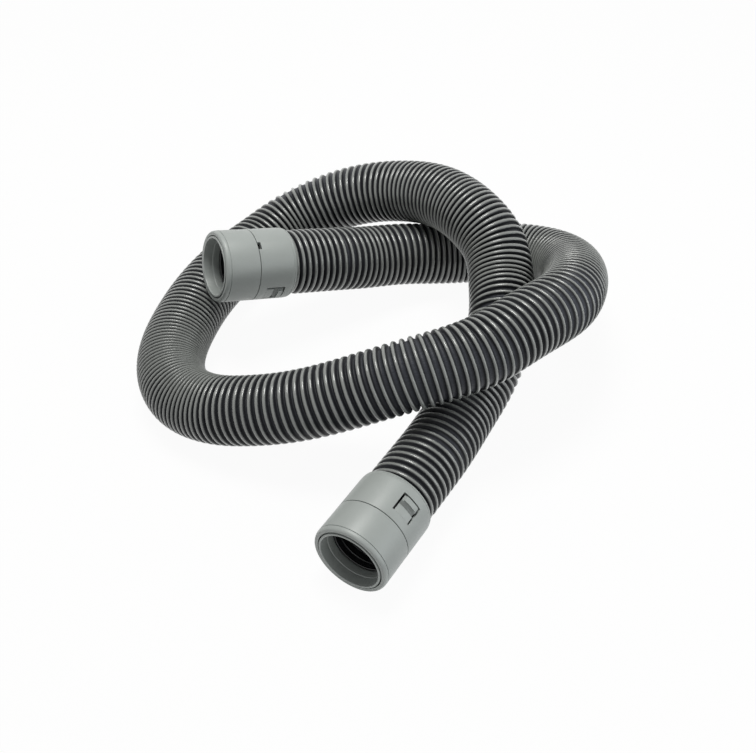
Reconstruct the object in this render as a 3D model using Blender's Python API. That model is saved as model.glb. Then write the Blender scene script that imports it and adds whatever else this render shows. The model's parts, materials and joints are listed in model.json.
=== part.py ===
"""Ribbed suction hose with a swivel cuff at each end, lying in a loose knot on the floor.

Sizes are in millimetres, and MM turns them into Blender's metres. +Z is up, and the
origin is on the floor, midway between the two cuffs. Each cuff is modelled about its
own X axis: x runs from the cuff's mouth towards the hose, r is the distance from the
axis, and the latches sit at local +Z and -Z.
"""

from math import cos, pi, radians, sin

import bmesh
import bpy
import numpy as np
from mathutils import Euler, Vector

MM = 0.001

# Hose
HOSE_OUTER = 42.0  # across the rib crests
RIB_DEPTH = 3.6  # from a crest down to the film between two ribs
HOSE_WALL = 1.3
RIBS = 184
END_RIB_SQUEEZE = 0.8  # how much lower the crests are inside a sleeve
HOSE_INSERT = 6.8  # length of hose held inside a sleeve
FLAT_SHARE = 0.1  # share of the hose's diameter that is flattened on the floor

# Cuff lengths, along its axis
COLLAR_LENGTH = 22.2
SLEEVE_LENGTH = 25.3
SKIRT_LENGTH = 2.6  # part of the collar that plugs into the sleeve
SHOULDER_LENGTH = 4.5  # rounded end of the sleeve
LIP_LENGTH = 2.6  # rounded end of the collar, up to its fine groove
FLANGE_THICKNESS = 1.8
RETAINER_WIDTH = 1.6
SNAP_BEAD_WIDTH = 1.0
CONE_LENGTH = 10.0  # tapering seat in the mouth
RING_TAPER_LENGTH = 4.7  # where the bore of the hose ring narrows
SPIGOT_LENGTH = 19.0  # part of the hose ring inside the hose

# Cuff heights, across its wall
SLEEVE_END_WALL = 1.0
SHOULDER_DROP = 1.0
SLEEVE_WALL = 1.3
SKIRT_WALL = 1.2
LIP_DROP = 1.4
FACE_WIDTH = 1.4  # flat ring between the lip and the groove round the liner
LIP_GROOVE = 0.4
RIM_GROOVE_WIDTH = 0.7  # gap between the collar and the liner at the mouth
RIM_GROOVE_DEPTH = 3.0
LINER_RIM_WIDTH = 1.2
LINER_PROUD = 0.3  # how far the liner stands out of the mouth
CONE_TAPER = 1.2
THROAT_STEP = 0.9  # from the narrow end of the seat down to the bore behind it
THROAT_WALL = 1.2
LINER_WALL = 1.2
SPIGOT_WALL = 1.2
NECK_WALL = 2.0
SNAP_BEAD_HEIGHT = 0.8

# Latches
LATCH_SETBACK = 5.5  # from the seam between collar and sleeve
LATCH_SLIT = 1.0  # open slit round the free end and sides
LATCH_HALF_ANGLE = 13.3
LATCH_RAMP_START = 4.8  # from the hinge
LATCH_RAMP_LENGTH = 3.1
LATCH_BLOCK_HEIGHT = 1.0
LATCH_BLOCK_HALF_ANGLE = 10.5
LATCH_TIP_STEP = 0.3
NOTCH_LENGTH = 2.2
NOTCH_HALF_ANGLE = 6.5
NOTCH_PLACE = 90.0  # angle round the cuff, from latch a

# Clearances
FIT = 0.3  # between pieces that stay together
SWIVEL_FIT = 0.4  # between pieces that turn on each other
HOSE_FIT = 0.4  # between the hose and the sleeve round it

# Facets
TURN_STEPS = 32
TUBE_SIDES = 8
BORE_SPACING = 20.0

# Place of each cuff: middle of its mouth, heading and dip of its axis, roll of its latches
REAR_MOUTH = (-60.4, 84.2, 62.1)
REAR_HEADING = 26.0
REAR_DIP = 14.8
REAR_ROLL = 295.0
FRONT_MOUTH_X = 27.5
FRONT_MOUTH_Y = -113.7
FRONT_HEADING = 58.2
FRONT_ROLL = 40.8

# Route of the hose between its two straight ends, through the middle of its bore
ROUTE = [
    (35, 132, 33),
    (59, 142, 28),
    (85, 149, 23),
    (109, 153, 21),
    (131, 152, 22),
    (149, 145, 25),
    (162, 133, 30),
    (169, 116, 37),
    (169, 93, 47),
    (163, 66, 59),
    (151, 39, 69),
    (127, 15, 73),
    (100, -5, 71),
    (66, -16, 66),
    (30, -18, 53),
    (-5, -17, 40),
    (-35, -11, 30),
    (-58, -2, 23),
    (-75, 10, 21),
    (-84, 26, 21),
    (-87, 48, 21),
    (-83, 76, 21),
    (-74, 106, 21),
    (-60, 135, 21),
    (-42, 161, 21),
    (-20, 182, 26),
    (7, 189, 37),
    (35, 186, 48),
    (63, 174, 58),
    (86, 153, 67),
    (104, 130, 68),
    (118, 107, 60),
    (121, 81, 49),
    (119, 53, 42),
    (109, 27, 27),
    (93, -2, 21),
]

# Pitch of the ribs as the hose lies: distance along the hose, then the pitch there
RIB_PITCH = [
    (0, 4.1),
    (60, 5.2),
    (95, 5.5),
    (125, 4.3),
    (205, 4.1),
    (250, 5.2),
    (300, 5.6),
    (355, 4.5),
    (445, 5.0),
    (540, 4.3),
    (565, 2.5),
    (595, 2.4),
    (640, 3.6),
    (690, 4.6),
    (760, 5.5),
    (845, 4.7),
    (880, 4.4),
    (915, 3.1),
    (965, 4.1),
    (1060, 5.2),
    (1170, 4.8),
]

# Radii that follow
CREST = HOSE_OUTER / 2
VALLEY = CREST - RIB_DEPTH
HOSE_BORE = VALLEY - HOSE_WALL
END_CREST = CREST - END_RIB_SQUEEZE
FLAT_DEPTH = HOSE_OUTER * FLAT_SHARE
SLEEVE_END_BORE = END_CREST + HOSE_FIT
CUFF_OUTER = SLEEVE_END_BORE + SLEEVE_END_WALL + SHOULDER_DROP
SLEEVE_BORE = CUFF_OUTER - SLEEVE_WALL
SNAP_BEAD_BORE = SLEEVE_BORE - SNAP_BEAD_HEIGHT
SKIRT_OUTER = SLEEVE_BORE - FIT
SKIRT_BORE = SKIRT_OUTER - SKIRT_WALL
RIM_OUTER = CUFF_OUTER - LIP_DROP
GROOVE_OUTER = RIM_OUTER - FACE_WIDTH
LINER_OUTER = GROOVE_OUTER - RIM_GROOVE_WIDTH
MOUTH_RADIUS = LINER_OUTER - LINER_RIM_WIDTH
COLLAR_BORE = LINER_OUTER + FIT
CONE_END = MOUTH_RADIUS - CONE_TAPER
RING_BORE = CONE_END - THROAT_STEP
THROAT_OUTER = RING_BORE + THROAT_WALL
LINER_BORE = THROAT_OUTER + SWIVEL_FIT
LINER_TAIL_OUTER = LINER_BORE + LINER_WALL
NECK_OUTER = RING_BORE + NECK_WALL
SPIGOT_OUTER = HOSE_BORE * cos(pi / TUBE_SIDES) - FIT
SPIGOT_BORE = SPIGOT_OUTER - SPIGOT_WALL
FLANGE_OUTER = SLEEVE_BORE - SWIVEL_FIT
RETAINER_BORE = NECK_OUTER + SWIVEL_FIT
RETAINER_OUTER = SLEEVE_BORE - FIT
SEAL_BORE = LINER_BORE + FIT
SEAL_OUTER = SKIRT_BORE - SWIVEL_FIT

# Places along the axis that follow
THROAT_FRONT = CONE_LENGTH + SWIVEL_FIT
SLEEVE_FRONT = COLLAR_LENGTH + FIT
SLEEVE_REAR = SLEEVE_FRONT + SLEEVE_LENGTH
HOSE_START = SLEEVE_REAR - HOSE_INSERT
SKIRT_END = COLLAR_LENGTH + SKIRT_LENGTH
SKIRT_ROOT = COLLAR_LENGTH - SKIRT_WALL
LINER_SEAT = SKIRT_ROOT - FIT
FLANGE_FRONT = SKIRT_END + SWIVEL_FIT
FLANGE_REAR = FLANGE_FRONT + FLANGE_THICKNESS
LINER_END = FLANGE_FRONT - FLANGE_THICKNESS
RETAINER_FRONT = FLANGE_REAR + SWIVEL_FIT
RETAINER_REAR = RETAINER_FRONT + RETAINER_WIDTH
SNAP_BEAD_FRONT = RETAINER_REAR + FIT
SNAP_BEAD_REAR = SNAP_BEAD_FRONT + SNAP_BEAD_WIDTH
NECK_END = HOSE_START - FIT
WINDOW_FRONT = SLEEVE_FRONT + LATCH_SETBACK
WINDOW_REAR = HOSE_START - HOSE_FIT
LATCH_LENGTH = WINDOW_REAR - LATCH_SLIT - WINDOW_FRONT
LATCH_HINGE_RADIUS = SLEEVE_BORE + SLEEVE_WALL / 2

CUFF_GREY = (0.32, 0.345, 0.335)
HOSE_GREY = (0.045, 0.05, 0.053)
RUBBER_BLACK = (0.02, 0.02, 0.02)
RING_BLACK = (0.03, 0.032, 0.034)
INNER_WHITE = (0.6, 0.6, 0.58)


def clear_scene():
    """Remove every object, so that the model is all the scene holds."""
    for scene_object in list(bpy.data.objects):
        bpy.data.objects.remove(scene_object)


def make_material(name, colour, roughness):
    """Return a plastic material of one colour."""
    material = bpy.data.materials.new(name)
    material.use_nodes = True
    shader = material.node_tree.nodes["Principled BSDF"]
    shader.inputs["Base Color"].default_value = (*colour, 1)
    shader.inputs["Roughness"].default_value = roughness
    shader.inputs["Metallic"].default_value = 0.0
    return material


def add_object(name, mesh, material=None):
    """Link a new object with the mesh, and give it the material."""
    new_object = bpy.data.objects.new(name, mesh)
    bpy.context.scene.collection.objects.link(new_object)
    if material:
        mesh.materials.clear()
        mesh.materials.append(material)
        mesh.shade_smooth()
        mesh.set_sharp_from_angle(angle=radians(30))
    return new_object


def mesh_from(bm, name):
    """Turn the bmesh into a mesh whose faces point outwards."""
    bmesh.ops.recalc_face_normals(bm, faces=bm.faces)
    mesh = bpy.data.meshes.new(name)
    bm.to_mesh(mesh)
    bm.free()
    return mesh


def outline_loop(bm, outline):
    """Add the closed outline of (x, r) points to the half plane Y = 0, Z > 0."""
    corners = [bm.verts.new((x * MM, 0, r * MM)) for x, r in outline]
    edges = [bm.edges.new(pair) for pair in zip(corners, corners[1:] + corners[:1])]
    return corners, edges


def turned_mesh(name, outline):
    """Turn the outline all the way round the X axis."""
    bm = bmesh.new()
    corners, edges = outline_loop(bm, outline)
    bmesh.ops.spin(
        bm,
        geom=corners + edges,
        cent=(0, 0, 0),
        axis=(1, 0, 0),
        angle=2 * pi,
        steps=TURN_STEPS,
        use_merge=True,
    )
    return mesh_from(bm, name)


def add_sector(bm, outline, half_angle, middle_angle=0.0):
    """Add a solid that turns the outline through half_angle on each side of middle_angle."""
    corners, edges = outline_loop(bm, outline)
    face = bm.faces.new(corners)
    first_angle = radians(middle_angle - half_angle)
    bmesh.ops.rotate(bm, verts=corners, matrix=Euler((first_angle, 0, 0)).to_matrix())
    steps = max(2, round(TURN_STEPS * half_angle / 180))
    bmesh.ops.spin(
        bm,
        geom=corners + edges + [face],
        cent=(0, 0, 0),
        axis=(1, 0, 0),
        angle=radians(2 * half_angle),
        steps=steps,
    )


def add_cutter(name, mesh):
    """Link an object that only shapes others, shown as a wire frame and never rendered."""
    cutter = add_object(name, mesh)
    cutter.display_type = "WIRE"
    cutter.hide_render = True
    return cutter


def add_boolean(target, operand, operation):
    """Cut the operand out of the target, or join it on."""
    modifier = target.modifiers.new(operand.name, "BOOLEAN")
    modifier.operation = operation
    modifier.solver = "EXACT"
    modifier.object = operand


def evaluated_mesh(source, name):
    """Return a mesh of what the object evaluates to, with doubled points merged."""
    depsgraph = bpy.context.evaluated_depsgraph_get()
    mesh = bpy.data.meshes.new_from_object(source.evaluated_get(depsgraph))
    bm = bmesh.new()
    bm.from_mesh(mesh)
    bmesh.ops.remove_doubles(bm, verts=bm.verts, dist=MM / 1000)
    return mesh_from(bm, name)


def rounded_corner(start, corner, end, steps=3):
    """Points of a quarter ellipse from start to end that bulges towards the corner."""
    centre = Vector(start) + Vector(end) - Vector(corner)
    to_start = Vector(start) - centre
    to_end = Vector(end) - centre
    angles = [i * pi / 2 / steps for i in range(steps + 1)]
    return [tuple(centre + to_start * cos(a) + to_end * sin(a)) for a in angles]


def box_outline(front, rear, inner, outer):
    """Outline of a plain ring."""
    return [(front, inner), (front, outer), (rear, outer), (rear, inner)]


def collar_outline():
    """Front shell: rounded lip, fine groove, straight wall and the skirt inside the sleeve."""
    lip = rounded_corner((0, RIM_OUTER), (0, CUFF_OUTER), (LIP_LENGTH, CUFF_OUTER))
    groove = [
        (LIP_LENGTH + LIP_GROOVE, CUFF_OUTER - LIP_GROOVE),
        (LIP_LENGTH + 2 * LIP_GROOVE, CUFF_OUTER),
    ]
    skirt = [
        (COLLAR_LENGTH, CUFF_OUTER),
        (COLLAR_LENGTH, SKIRT_OUTER),
        (SKIRT_END, SKIRT_OUTER),
        (SKIRT_END, SKIRT_BORE),
        (SKIRT_ROOT, SKIRT_BORE),
        (SKIRT_ROOT, COLLAR_BORE),
    ]
    rim = [
        (RIM_GROOVE_DEPTH, COLLAR_BORE),
        (RIM_GROOVE_DEPTH, GROOVE_OUTER),
        (0, GROOVE_OUTER),
    ]
    return lip + groove + skirt + rim


def sleeve_outline():
    """Rear shell: straight wall, rounded shoulder, hose seat and the bead that snaps in."""
    shoulder = rounded_corner(
        (SLEEVE_REAR - SHOULDER_LENGTH, CUFF_OUTER),
        (SLEEVE_REAR, CUFF_OUTER),
        (SLEEVE_REAR, CUFF_OUTER - SHOULDER_DROP),
    )
    bore = [
        (SLEEVE_REAR, SLEEVE_END_BORE),
        (HOSE_START, SLEEVE_END_BORE),
        (HOSE_START - HOSE_FIT, SLEEVE_BORE),
        (SNAP_BEAD_REAR, SLEEVE_BORE),
        (SNAP_BEAD_REAR, SNAP_BEAD_BORE),
        (SNAP_BEAD_FRONT, SNAP_BEAD_BORE),
        (SNAP_BEAD_FRONT, SLEEVE_BORE),
        (SLEEVE_FRONT, SLEEVE_BORE),
    ]
    return [(SLEEVE_FRONT, CUFF_OUTER)] + shoulder + bore


def liner_outline():
    """Inner tube of the mouth: flat rim, tapering seat and the flange it is held by."""
    rim = [
        (-LINER_PROUD, MOUTH_RADIUS),
        (-LINER_PROUD, LINER_OUTER),
        (RIM_GROOVE_DEPTH, LINER_OUTER),
    ]
    flange = [
        (LINER_SEAT - LINER_WALL, LINER_TAIL_OUTER),
        (LINER_SEAT - LINER_WALL, LINER_OUTER),
        (LINER_SEAT, LINER_OUTER),
        (LINER_SEAT, LINER_TAIL_OUTER),
    ]
    tail = [(LINER_END, LINER_TAIL_OUTER), (LINER_END, LINER_BORE)]
    cone_end = [(CONE_LENGTH, LINER_BORE), (CONE_LENGTH, CONE_END)]
    return rim + flange + tail + cone_end


def hose_ring_outline():
    """Ring fixed to the hose: throat, the flange it swivels on, neck and spigot in the hose."""
    spigot_end = NECK_END + SPIGOT_LENGTH
    return [
        (THROAT_FRONT, RING_BORE),
        (THROAT_FRONT, THROAT_OUTER),
        (FLANGE_FRONT, THROAT_OUTER),
        (FLANGE_FRONT, FLANGE_OUTER),
        (FLANGE_REAR, FLANGE_OUTER),
        (FLANGE_REAR, NECK_OUTER),
        (NECK_END, NECK_OUTER),
        (NECK_END, SPIGOT_OUTER),
        (spigot_end, SPIGOT_OUTER),
        (spigot_end, SPIGOT_BORE),
        (NECK_END, SPIGOT_BORE),
        (NECK_END - RING_TAPER_LENGTH, RING_BORE),
    ]


def latch_mesh():
    """Springy tab with a block near its tip and a hollow ramp up to it, about its hinge line."""
    tab_outline = box_outline(
        WINDOW_FRONT + FIT, WINDOW_FRONT + LATCH_LENGTH, SLEEVE_BORE, CUFF_OUTER
    )
    block_root = CUFF_OUTER - SLEEVE_WALL / 2
    block_top = CUFF_OUTER + LATCH_BLOCK_HEIGHT
    ramp_start = WINDOW_FRONT + LATCH_RAMP_START
    ramp_end = ramp_start + LATCH_RAMP_LENGTH
    block_rear = WINDOW_FRONT + LATCH_LENGTH - LATCH_TIP_STEP
    ramp = rounded_corner((ramp_start, CUFF_OUTER), (ramp_end, CUFF_OUTER), (ramp_end, block_top))
    block_outline = [(ramp_start, block_root)] + ramp
    block_outline += [(block_rear, block_top), (block_rear, block_root)]
    tab_bm = bmesh.new()
    add_sector(tab_bm, tab_outline, LATCH_HALF_ANGLE)
    tab = add_cutter("latch_tab_guide", mesh_from(tab_bm, "latch_tab"))
    block_bm = bmesh.new()
    add_sector(block_bm, block_outline, LATCH_BLOCK_HALF_ANGLE)
    block = add_cutter("latch_block_guide", mesh_from(block_bm, "latch_block"))
    add_boolean(tab, block, "UNION")
    mesh = evaluated_mesh(tab, "latch")
    for guide in (tab, block):
        bpy.data.objects.remove(guide)
    for vertex in mesh.vertices:
        vertex.co -= Vector((WINDOW_FRONT, 0, LATCH_HINGE_RADIUS)) * MM
    return mesh


def shell_cutter_mesh():
    """Two windows for the latches, and a notch at the seam that goes through both shells."""
    slit_angle = LATCH_SLIT / CUFF_OUTER * 180 / pi
    inner = SNAP_BEAD_BORE - FIT
    outer = CUFF_OUTER + SLEEVE_WALL
    window = box_outline(WINDOW_FRONT, WINDOW_REAR, inner, outer)
    notch = box_outline(
        SLEEVE_FRONT - FIT / 2, SLEEVE_FRONT + NOTCH_LENGTH, SKIRT_BORE - FIT, outer
    )
    bm = bmesh.new()
    for side in (0, 180):
        add_sector(bm, window, LATCH_HALF_ANGLE + slit_angle, side)
    add_sector(bm, notch, NOTCH_HALF_ANGLE, NOTCH_PLACE)
    return mesh_from(bm, "shell_cutter")


def build_cuff(side, frame, materials):
    """Add the pieces of one cuff, all held by its empty."""
    grey, black, white, dark = materials

    def turned(piece, outline, material):
        name = side + "_" + piece
        new_object = add_object(name, turned_mesh(name, outline), material)
        new_object.parent = frame
        return new_object

    collar = turned("collar", collar_outline(), grey)
    turned("liner", liner_outline(), grey)
    turned("hose_ring", hose_ring_outline(), dark)
    seal = box_outline(LINER_END + FIT, FLANGE_FRONT - FIT, SEAL_BORE, SEAL_OUTER)
    turned("seal_ring", seal, black)
    retainer = box_outline(RETAINER_FRONT, RETAINER_REAR, RETAINER_BORE, RETAINER_OUTER)
    turned("retaining_ring", retainer, white)
    sleeve = turned("sleeve", sleeve_outline(), grey)
    cutter = add_cutter(side + "_shell_cutter", shell_cutter_mesh())
    cutter.parent = frame
    for shell in (collar, sleeve):
        add_boolean(shell, cutter, "DIFFERENCE")
    for letter, turn in (("a", 0), ("b", pi)):
        latch = add_object(side + "_latch_" + letter, latch_mesh(), grey)
        latch.parent = frame
        hinge = Vector((WINDOW_FRONT, 0, LATCH_HINGE_RADIUS)) * MM
        hinge.rotate(Euler((turn, 0, 0)))
        latch.location = hinge
        latch.rotation_euler = (turn, 0, 0)


def add_frame(name, mouth, heading, dip, roll):
    """Add the empty at the middle of a mouth, with its X axis running into the cuff."""
    frame = bpy.data.objects.new(name, None)
    bpy.context.scene.collection.objects.link(frame)
    frame.location = Vector(mouth) * MM
    frame.rotation_euler = (radians(roll), radians(dip), radians(heading))
    return frame


def axis_point(mouth, heading, dip, distance):
    """Point on a cuff's axis, the given distance in from its mouth."""
    direction = Vector((1, 0, 0))
    direction.rotate(Euler((0, radians(dip), radians(heading))))
    return np.array(Vector(mouth) + direction * distance)


def smooth_curve(points, first_direction, last_direction, samples=24):
    """Cubic spline of continuous curvature through the points, with its end directions."""
    chords = np.linalg.norm(np.diff(points, axis=0), axis=1)
    count = len(points)
    system = np.eye(count)
    slopes = np.zeros((count, 3))
    slopes[0] = first_direction
    slopes[-1] = last_direction
    for i in range(1, count - 1):
        before, after = chords[i - 1], chords[i]
        system[i, i - 1 : i + 2] = after, 2 * (before + after), before
        rise_before = (points[i] - points[i - 1]) / before
        rise_after = (points[i + 1] - points[i]) / after
        slopes[i] = 3 * (after * rise_before + before * rise_after)
    slopes = np.linalg.solve(system, slopes)
    t = np.linspace(0, 1, samples, endpoint=False)[:, None]
    runs = []
    for i, chord in enumerate(chords):
        run = (1 + 2 * t) * (1 - t) ** 2 * points[i]
        run += t * (1 - t) ** 2 * chord * slopes[i]
        run += t**2 * (3 - 2 * t) * points[i + 1]
        run -= t**2 * (1 - t) * chord * slopes[i + 1]
        runs.append(run)
    return np.vstack(runs + [points[-1:]])


def along(path):
    """Distance along the path at each of its points."""
    return np.append(0, np.cumsum(np.linalg.norm(np.diff(path, axis=0), axis=1)))


def points_at(path, distances):
    """Points of the path at the given distances along it."""
    travelled = along(path)
    return np.stack([np.interp(distances, travelled, path[:, k]) for k in range(3)], axis=1)


def hose_path(rear, front):
    """Centre line from the rear cuff to the front one, straight for one diameter at each end."""
    straight_end = HOSE_START + HOSE_OUTER
    rear_tip, rear_knee = (axis_point(*rear, x) for x in (HOSE_START, straight_end))
    front_tip, front_knee = (axis_point(*front, x) for x in (HOSE_START, straight_end))
    middle = smooth_curve(
        np.array([rear_knee, *ROUTE, front_knee], dtype=float),
        (rear_knee - rear_tip) / HOSE_OUTER,
        (front_tip - front_knee) / HOSE_OUTER,
    )
    return np.vstack([rear_tip, middle, front_tip])


def settle(path):
    """Lower the stretches on the floor by the depth of their flat, away from the ends."""
    travelled = along(path)
    from_end = np.minimum(travelled, travelled[-1] - travelled)
    free = np.clip(from_end / HOSE_OUTER - 1, 0, 1)
    near_floor = np.clip(2 - path[:, 2] / CREST, 0, 1)
    settled = path.copy()
    settled[:, 2] -= FLAT_DEPTH * near_floor * free
    return settled


def tube_mesh(name, points, radii):
    """Closed tube through the points, with a radius at each, made from a bevelled curve."""
    curve = bpy.data.curves.new(name, "CURVE")
    curve.dimensions = "3D"
    curve.twist_mode = "Z_UP"
    curve.bevel_mode = "ROUND"
    curve.bevel_depth = CREST * MM
    curve.bevel_resolution = TUBE_SIDES // 4
    curve.use_fill_caps = True
    spline = curve.splines.new("POLY")
    spline.points.add(len(points) - 1)
    for spline_point, point, radius in zip(spline.points, points, radii):
        spline_point.co = (*(point * MM), 1)
        spline_point.radius = radius / CREST
        spline_point.tilt = pi / TUBE_SIDES
    guide = add_object(name, curve)
    mesh = evaluated_mesh(guide, name)
    bpy.data.objects.remove(guide)
    return mesh


def rib_places(length):
    """Distances of the crests and valleys along the hose, crowded where the hose is bunched."""
    distances = np.arange(0, length)
    known, pitches = zip(*RIB_PITCH)
    ribs_so_far = np.append(0, np.cumsum(1 / np.interp(distances, known, pitches)))
    distances = np.append(distances, length)
    shares = np.linspace(0, 1, 2 * RIBS + 1)
    return np.interp(shares, ribs_so_far / ribs_so_far[-1], distances)


def rib_radii(places):
    """A crest at every other place and the film between, with lower crests in the sleeves."""
    from_end = np.minimum(places, places[-1] - places)
    opened = np.clip(from_end / HOSE_INSERT - 1, 0, 1)
    radii = END_CREST + END_RIB_SQUEEZE * opened
    radii[1::2] = VALLEY
    return radii


def print_least_gap(path):
    """Print the least gap between stretches of the hose that lie over or beside each other."""
    distances = np.arange(0, along(path)[-1], RIB_DEPTH)
    points = points_at(path, distances)
    apart = np.linalg.norm(points[:, None] - points[None], axis=2)
    far_along = np.abs(distances[:, None] - distances[None]) > 2 * HOSE_OUTER
    print("least gap of the hose to itself: %.2f mm" % (apart[far_along].min() - HOSE_OUTER))


def build_hose(rear, front, material):
    """Add the ribbed tube with its bore, cut flat where it lies on the floor."""
    path = settle(hose_path(rear, front))
    length = along(path)[-1]
    places = rib_places(length)
    tube = tube_mesh("hose_tube", points_at(path, places), rib_radii(places))
    hose = add_object("hose_tube", tube, material)
    bore_places = np.linspace(0, length, round(length / BORE_SPACING))
    bore_points = points_at(path, bore_places)
    bore_points[0] += (bore_points[0] - bore_points[1]) / BORE_SPACING
    bore_points[-1] += (bore_points[-1] - bore_points[-2]) / BORE_SPACING
    bore = tube_mesh("hose_bore_cutter", bore_points, np.full(len(bore_points), HOSE_BORE))
    add_boolean(hose, add_cutter("hose_bore_cutter", bore), "DIFFERENCE")
    bm = bmesh.new()
    bmesh.ops.create_cube(bm, size=length * MM)
    bmesh.ops.translate(bm, verts=bm.verts, vec=(0, 0, -length / 2 * MM))
    floor = add_cutter("floor_cutter", mesh_from(bm, "floor_cutter"))
    add_boolean(hose, floor, "DIFFERENCE")
    print_least_gap(path)
    print("length of the hose between its ends: %.0f mm" % length)


def main():
    clear_scene()
    grey = make_material("cuff_plastic", CUFF_GREY, 0.35)
    black = make_material("seal_rubber", RUBBER_BLACK, 0.6)
    white = make_material("retainer_plastic", INNER_WHITE, 0.4)
    dark = make_material("ring_plastic", RING_BLACK, 0.35)
    film = make_material("hose_film", HOSE_GREY, 0.3)
    rear = (REAR_MOUTH, REAR_HEADING, REAR_DIP)
    front = ((FRONT_MOUTH_X, FRONT_MOUTH_Y, CUFF_OUTER), FRONT_HEADING, 0.0)
    rear_frame = add_frame("rear_cuff_frame", *rear, REAR_ROLL)
    front_frame = add_frame("front_cuff_frame", *front, FRONT_ROLL)
    build_cuff("rear", rear_frame, (grey, black, white, dark))
    build_cuff("front", front_frame, (grey, black, white, dark))
    build_hose(rear, front, film)


main()
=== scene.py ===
"""Ribbed suction hose with a swivel cuff at each end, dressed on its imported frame.

The cuffs are placed from the frame's own joints. A cuff's X axis runs from its mouth
towards the hose, r is the distance from that axis, and its latches sit at +Z and -Z.
"""

import json
from math import cos, hypot, pi, radians, sin, sqrt

import bmesh
import bpy
import numpy as np
from bpy.props import FloatProperty, FloatVectorProperty, IntProperty, PointerProperty
from mathutils import Euler, Matrix, Vector


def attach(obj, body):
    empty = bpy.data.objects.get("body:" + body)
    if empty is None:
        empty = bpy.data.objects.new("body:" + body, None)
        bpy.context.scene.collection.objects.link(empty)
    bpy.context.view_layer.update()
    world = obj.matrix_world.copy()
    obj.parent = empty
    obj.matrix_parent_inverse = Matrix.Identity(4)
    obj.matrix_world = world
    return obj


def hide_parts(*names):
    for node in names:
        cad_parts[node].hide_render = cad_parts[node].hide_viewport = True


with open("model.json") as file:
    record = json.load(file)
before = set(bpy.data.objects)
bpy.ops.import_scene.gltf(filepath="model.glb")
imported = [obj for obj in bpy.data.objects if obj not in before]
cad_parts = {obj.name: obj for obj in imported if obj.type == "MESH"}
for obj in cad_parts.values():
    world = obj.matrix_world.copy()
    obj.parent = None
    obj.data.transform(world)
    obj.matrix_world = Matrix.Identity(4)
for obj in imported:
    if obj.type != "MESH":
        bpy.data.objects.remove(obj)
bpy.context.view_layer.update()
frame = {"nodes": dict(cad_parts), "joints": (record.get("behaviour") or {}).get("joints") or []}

bl_info = {
    "name": "Ribbed Suction Hose",
    "version": (1, 0, 0),
    "blender": (4, 5, 0),
    "location": "View3D > Sidebar > Hose",
    "description": "Builds a ribbed suction hose with two swivel cuffs and its stage",
    "category": "Object",
}

MM = 0.001
JOINTS = {joint["name"]: joint for joint in frame["joints"]}
SIDES = ("rear", "front")

# Route of the hose between its two straight ends, through the middle of its bore
ROUTE = [
    (0.035, 0.132, 0.033),
    (0.059, 0.142, 0.028),
    (0.085, 0.149, 0.023),
    (0.109, 0.153, 0.021),
    (0.131, 0.152, 0.022),
    (0.149, 0.145, 0.025),
    (0.162, 0.133, 0.030),
    (0.169, 0.116, 0.037),
    (0.169, 0.093, 0.047),
    (0.163, 0.066, 0.059),
    (0.151, 0.039, 0.069),
    (0.127, 0.015, 0.073),
    (0.100, -0.005, 0.071),
    (0.066, -0.016, 0.066),
    (0.030, -0.018, 0.053),
    (-0.005, -0.017, 0.040),
    (-0.035, -0.011, 0.030),
    (-0.058, -0.002, 0.023),
    (-0.075, 0.010, 0.021),
    (-0.084, 0.026, 0.021),
    (-0.087, 0.048, 0.021),
    (-0.083, 0.076, 0.021),
    (-0.074, 0.106, 0.021),
    (-0.060, 0.135, 0.021),
    (-0.042, 0.161, 0.021),
    (-0.020, 0.182, 0.026),
    (0.007, 0.189, 0.037),
    (0.035, 0.186, 0.048),
    (0.063, 0.174, 0.058),
    (0.086, 0.153, 0.067),
    (0.104, 0.130, 0.068),
    (0.118, 0.107, 0.060),
    (0.121, 0.081, 0.049),
    (0.119, 0.053, 0.042),
    (0.109, 0.027, 0.027),
    (0.093, -0.002, 0.021),
]

# Pitch of the helix as the hose lies: distance along the hose, then the pitch there
PITCH = [
    (0.000, 0.0041),
    (0.060, 0.0046),
    (0.095, 0.0048),
    (0.125, 0.0042),
    (0.205, 0.0041),
    (0.250, 0.0052),
    (0.300, 0.0056),
    (0.355, 0.0045),
    (0.445, 0.0050),
    (0.540, 0.0043),
    (0.565, 0.0025),
    (0.595, 0.0024),
    (0.640, 0.0036),
    (0.690, 0.0046),
    (0.760, 0.0055),
    (0.845, 0.0047),
    (0.880, 0.0044),
    (0.915, 0.0031),
    (0.965, 0.0041),
    (1.060, 0.0052),
    (1.170, 0.0048),
]

# The hose's mesh
PATH_STEP = MM  # between the points of its centre line
RIB_ROWS = np.array((0, 0.3, 0.58, 0.83, 1))  # from a crest out, in shares of half a rib
WIDEST_FOOT = 0.46  # most that half a rib takes of the pitch
FOOT_NARROWING = 2.5  # how fast the ribs narrow as the film comes taut
CROWDING = 1.5  # power by which the ribs get shallow where they crowd
LEAST_FILM = MM / 10  # shortest film between two ribs that counts
WELD_DISTANCE = MM / 1000  # between points that are one

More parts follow.
